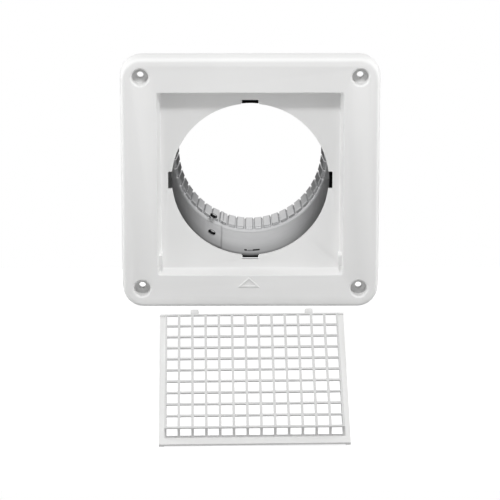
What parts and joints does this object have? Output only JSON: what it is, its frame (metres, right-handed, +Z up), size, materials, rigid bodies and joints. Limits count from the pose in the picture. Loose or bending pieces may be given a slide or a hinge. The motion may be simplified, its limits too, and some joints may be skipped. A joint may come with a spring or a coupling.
{
  "type": "wall vent",
  "caption": "Square wall vent plate with a deep square recess and a round opening, a sheet-metal tail pipe with a crimped end behind it, and a lift-off grille that lies in front.",
  "frame": {"origin": "centre of the four screw holes' pattern, on the wall plane that the plate's back rests on", "axes": "+Z up on the wall, +Y into the wall along the screws and the tail pipe, +X to the right as seen from the front"},
  "size_m": [0.1644, 0.2029, 0.2172],
  "materials": {
    "plate_plastic": "smooth moulded white",
    "pipe_sheet": "plain mill sheet",
    "grille_plastic": "smooth moulded white"
  },
  "bodies": {
    "vent": {"housing": "plate_plastic", "tail_pipe": "pipe_sheet"},
    "grille": {"grille": "grille_plastic"}
  },
  "joints": [
    {"name": "grille_lift", "type": "slide", "parent": "vent", "child": "grille", "axis": [0, 0, 1], "range_m": [0, 0.142]}
  ]
}
